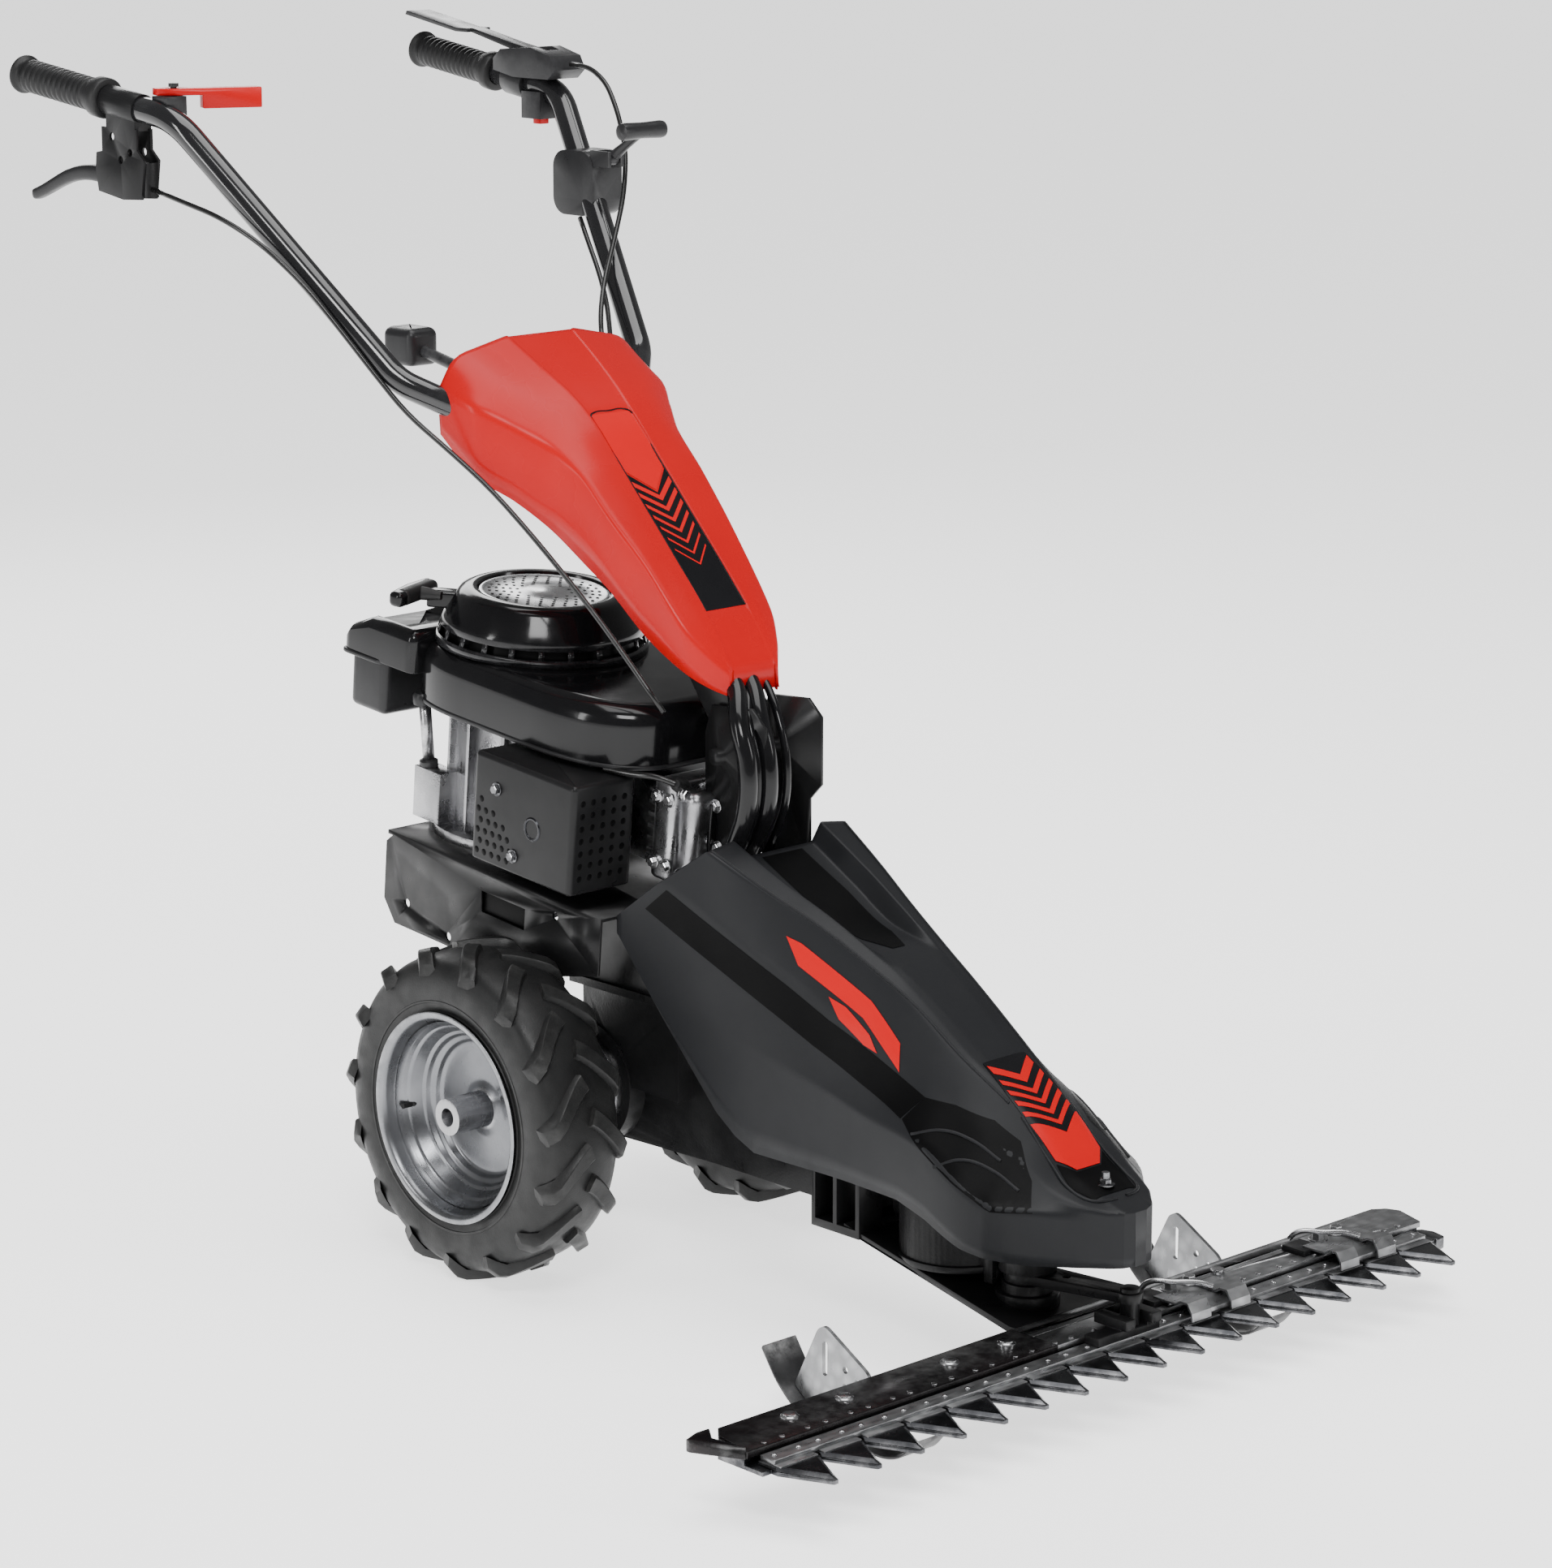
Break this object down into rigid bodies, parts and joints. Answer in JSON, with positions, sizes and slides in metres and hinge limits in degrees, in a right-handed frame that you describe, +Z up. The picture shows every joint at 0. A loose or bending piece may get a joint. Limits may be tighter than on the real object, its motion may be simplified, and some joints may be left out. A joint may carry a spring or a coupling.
{
  "type": "walk-behind sickle-bar mower",
  "caption": "Two-wheeled walk-behind mower with a transverse reciprocating knife bar on skids, a vertical-shaft petrol engine, red cowl and two handlebars with controls.",
  "frame": {"origin": "on the ground, halfway between the blade tips and the grip ends, on the machine's middle plane", "axes": "+Z up, -Y towards the cutter bar, +Y towards the operator, +X to the operator's left, along the wheel axle"},
  "size_m": [0.928, 1.3401, 1.172],
  "materials": {
    "galvanised_steel": "satin galvanised",
    "bright_steel": "bright machined",
    "knife_steel": "dark hardened",
    "skid_steel": "zinc over dark sole",
    "black_steel": "satin powder coat",
    "gloss_black_paint": "gloss powder coat",
    "black_casting": "satin painted casting",
    "silver_paint": "silver metallic paint",
    "aluminium_casting": "as cast",
    "tyre_rubber": "matt",
    "belt_rubber": "matt",
    "black_rubber": "matt ribbed",
    "cable_sheath": "smooth sheath",
    "black_plastic": "satin moulded",
    "grey_plastic": "fine grained",
    "red_plastic": "gloss moulded"
  },
  "bodies": {
    "chassis": {"bar_plate": "galvanised_steel", "finger_bar": "black_steel", "hold_down_clips": "galvanised_steel", "bar_rivets": "galvanised_steel", "bar_bolts": "bright_steel", "bar_divider": "black_steel", "bar_end_shoe": "galvanised_steel", "carrier_plate": "black_steel", "drive_housing": "black_casting", "pivot_column": "black_casting", "gearbox_housing": "black_casting", "gearbox_end_cover": "aluminium_casting", "engine_frame": "black_steel", "drive_belt": "belt_rubber", "crankcase": "aluminium_casting", "cylinder_head": "aluminium_casting", "muffler_guard": "black_steel", "blower_shroud": "black_plastic", "recoil_cover": "black_plastic", "recoil_disc": "bright_steel", "air_box": "black_plastic", "air_box_lid": "black_plastic", "dipstick_tube": "aluminium_casting", "front_cover": "grey_plastic", "mast_bracket": "black_steel"},
    "wheel_left": {"tyre_left": "tyre_rubber", "rim_left": "silver_paint", "wheel_shaft_left": "galvanised_steel"},
    "wheel_right": {"tyre_right": "tyre_rubber", "rim_right": "silver_paint", "wheel_shaft_right": "galvanised_steel"},
    "knife": {"knife_blades": "knife_steel", "knife_back": "galvanised_steel", "knife_head": "black_casting"},
    "arm": {"swing_arm": "black_casting"},
    "crank": {"crank_pulley": "bright_steel"},
    "input": {"gearbox_pulley": "bright_steel"},
    "starter": {"starter_handle": "black_rubber"},
    "skid_left_body": {"skid_left": "skid_steel"},
    "skid_right_body": {"skid_right": "skid_steel"},
    "steering": {"mast": "black_steel", "hood": "red_plastic", "handlebar_left": "gloss_black_paint", "handlebar_right": "gloss_black_paint", "grip_left": "black_rubber", "grip_right": "black_rubber", "clutch_bracket": "black_steel", "safety_pin": "black_plastic", "drive_lever_housing": "black_plastic", "throttle_housing": "black_plastic", "stop_switch": "black_plastic", "clutch_cable": "cable_sheath", "drive_cable": "cable_sheath", "throttle_cable": "cable_sheath"},
    "clutch": {"clutch_lever": "black_plastic"},
    "safety": {"safety_lever": "red_plastic"},
    "drive": {"drive_lever": "black_plastic"},
    "throttle": {"throttle_lever": "black_plastic"},
    "stop": {"stop_button": "red_plastic"},
    "shift": {"shift_lever": "black_plastic"}
  },
  "joints": [
    {"name": "wheel_left_spin", "type": "hinge", "parent": "chassis", "child": "wheel_left", "pos_m": [0.178, 0.061, 0.164], "axis": [1, 0, 0], "continuous": true},
    {"name": "wheel_right_spin", "type": "hinge", "parent": "chassis", "child": "wheel_right", "pos_m": [-0.178, 0.061, 0.164], "axis": [1, 0, 0], "continuous": true},
    {"name": "knife_stroke", "type": "slide", "parent": "chassis", "child": "knife", "axis": [1, 0, 0], "range_m": [-0.025, 0.025]},
    {"name": "swing_arm_turn", "type": "hinge", "parent": "chassis", "child": "arm", "pos_m": [0, -0.5, 0.095], "axis": [0, 0, 1], "range_deg": [-13.6, 13.6]},
    {"name": "crank_spin", "type": "hinge", "parent": "chassis", "child": "crank", "pos_m": [0, 0.195, 0.392], "axis": [0, -0.0958, 0.9954], "continuous": true},
    {"name": "input_spin", "type": "hinge", "parent": "chassis", "child": "input", "pos_m": [0, -0.02, 0.306], "axis": [0, 0, 1], "continuous": true},
    {"name": "starter_pull", "type": "slide", "parent": "chassis", "child": "starter", "axis": [-0.7312, 0.679, 0.0654], "range_m": [0, 0.25], "stiffness_N_per_m": 20, "springref_m": -0.1},
    {"name": "skid_left_height", "type": "slide", "parent": "chassis", "child": "skid_left_body", "axis": [0, 0, 1], "range_m": [-0.02, 0]},
    {"name": "skid_right_height", "type": "slide", "parent": "chassis", "child": "skid_right_body", "axis": [0, 0, 1], "range_m": [-0.02, 0]},
    {"name": "handlebar_tilt", "type": "hinge", "parent": "chassis", "child": "steering", "pos_m": [0, -0.115, 0.52], "axis": [1, 0, 0], "range_deg": [-6, 12]},
    {"name": "clutch_lever_squeeze", "type": "hinge", "parent": "steering", "child": "clutch", "pos_m": [-0.247, 0.524, 1.031], "axis": [1, 0, 0], "range_deg": [0, 20], "stiffness_Nm_per_rad": 1, "springref_deg": -17.19},
    {"name": "safety_paddle_turn", "type": "hinge", "parent": "steering", "child": "safety", "pos_m": [-0.232, 0.448, 1.124], "axis": [0, 0, 1], "range_deg": [-35, 20]},
    {"name": "drive_lever_press", "type": "hinge", "parent": "steering", "child": "drive", "pos_m": [0.247, 0.474, 1.134], "axis": [1, 0, 0], "range_deg": [-5, 0], "stiffness_Nm_per_rad": 4, "springref_deg": 11.46},
    {"name": "throttle_lever_turn", "type": "hinge", "parent": "steering", "child": "throttle", "pos_m": [0.206, 0.302, 1.04], "axis": [1, 0, 0], "range_deg": [-20, 20]},
    {"name": "stop_button_press", "type": "slide", "parent": "steering", "child": "stop", "axis": [0, 0, 1], "range_m": [0, 0.003], "stiffness_N_per_m": 200, "springref_m": -0.001},
    {"name": "shift_rod_slide", "type": "slide", "parent": "steering", "child": "shift", "axis": [0, 0.9806, 0.1961], "range_m": [-0.015, 0.015]}
  ],
  "couplings": [
    {"joint": "swing_arm_turn", "follows": "knife_stroke", "rad_per_m": 9.434},
    {"joint": "input_spin", "follows": "crank_spin", "ratio": 0.7368}
  ]
}
